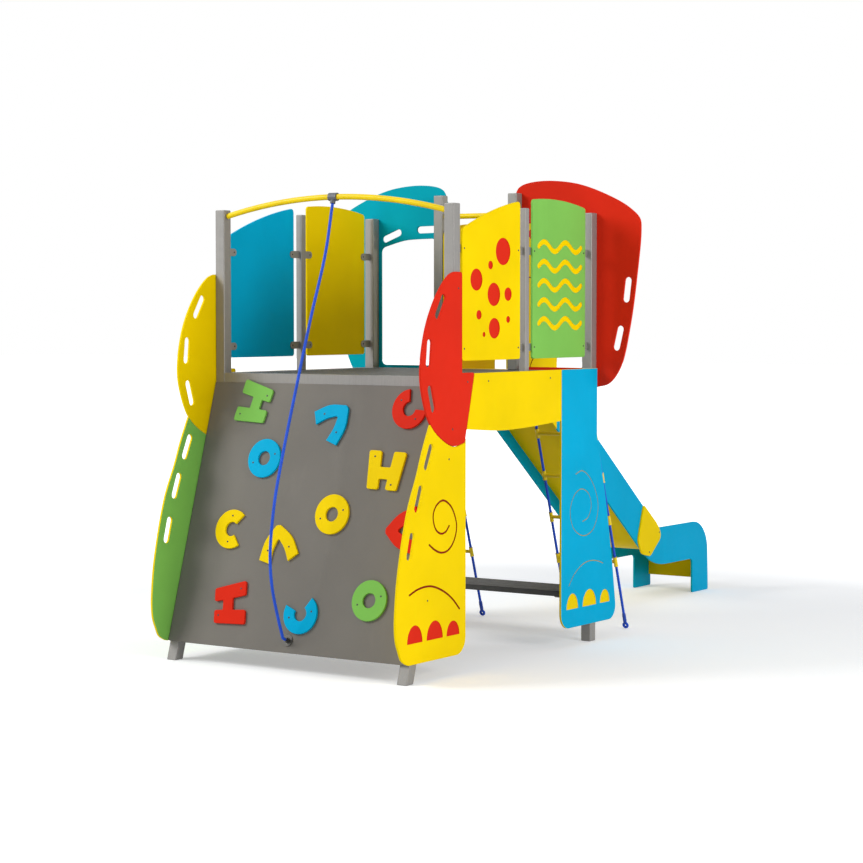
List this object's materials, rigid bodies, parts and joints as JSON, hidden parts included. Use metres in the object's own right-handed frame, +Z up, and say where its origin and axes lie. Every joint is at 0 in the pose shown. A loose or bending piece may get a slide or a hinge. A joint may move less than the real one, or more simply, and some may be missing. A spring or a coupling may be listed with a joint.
{
  "type": "elephant play structure",
  "caption": "Elephant-shaped play tower with a deck, a sloping climbing wall with grips, a trunk slide, rope ladders, a climbing rope and ear, leg and belly boards.",
  "frame": {"origin": "middle of the outer box, on the ground", "axes": "+Y along the slide, away from the climbing wall; +X to the right as seen from the climbing wall; +Z up"},
  "size_m": [2.076, 4.4203, 2.558],
  "materials": {
    "steel": "galvanised and coated, satin",
    "yellow_board": "fine matt texture",
    "red_board": "fine matt texture",
    "blue_board": "fine matt texture",
    "teal_board": "fine matt texture",
    "green_board": "fine matt texture",
    "grey_board": "fine matt texture",
    "dark_board": "phenolic film on plywood, non-slip",
    "black_polymer": "satin",
    "stainless": "brushed",
    "blue_rope": "steel-cored polypropylene rope",
    "yellow_rung": "moulded, satin"
  },
  "bodies": {
    "root": {"arch_rail": "steel", "barrier_front_left": "teal_board", "barrier_front_right": "yellow_board", "barrier_rear_left": "yellow_board", "barrier_rear_right": "green_board", "belly_panel_left": "yellow_board", "belly_panel_right": "yellow_board", "climbing_rope": "blue_rope", "climbing_wall": "grey_board", "deck_frame": "steel", "deck_plate": "dark_board", "ear_left": "teal_board", "ear_right": "red_board", "grip_chevron_blue": "blue_board", "grip_chevron_red": "red_board", "grip_chevron_yellow": "yellow_board", "grip_double_green": "green_board", "grip_double_red": "red_board", "grip_double_yellow": "yellow_board", "grip_horseshoe_blue": "blue_board", "grip_horseshoe_red": "red_board", "grip_horseshoe_yellow": "yellow_board", "grip_ring_blue": "blue_board", "grip_ring_green": "green_board", "grip_ring_yellow": "yellow_board", "head_panel_left": "yellow_board", "head_panel_right": "yellow_board", "hip_board_left": "yellow_board", "hip_board_right": "red_board", "ladder_rope_left_inner": "blue_rope", "ladder_rope_left_outer": "blue_rope", "ladder_rope_right_inner": "blue_rope", "ladder_rope_right_outer": "blue_rope", "leg_front_left": "green_board", "leg_front_right": "yellow_board", "leg_rear_left": "red_board", "leg_rear_right": "blue_board", "post_front_left": "steel", "post_front_right": "steel", "post_mid_left": "steel", "post_mid_right": "steel", "post_rear_left": "steel", "post_rear_right": "steel", "rope_clamp": "black_polymer", "rope_wall_eye": "stainless", "rung_left_1": "yellow_rung", "rung_left_2": "yellow_rung", "rung_left_3": "yellow_rung", "rung_left_4": "yellow_rung", "rung_right_1": "yellow_rung", "rung_right_2": "yellow_rung", "rung_right_3": "yellow_rung", "rung_right_4": "yellow_rung", "seat_board": "dark_board", "slide_bed": "yellow_board", "slide_portal": "steel", "slide_side_left": "blue_board", "slide_side_right": "blue_board", "slide_splice_left": "yellow_board", "slide_splice_right": "yellow_board"}
  },
  "joints": []
}
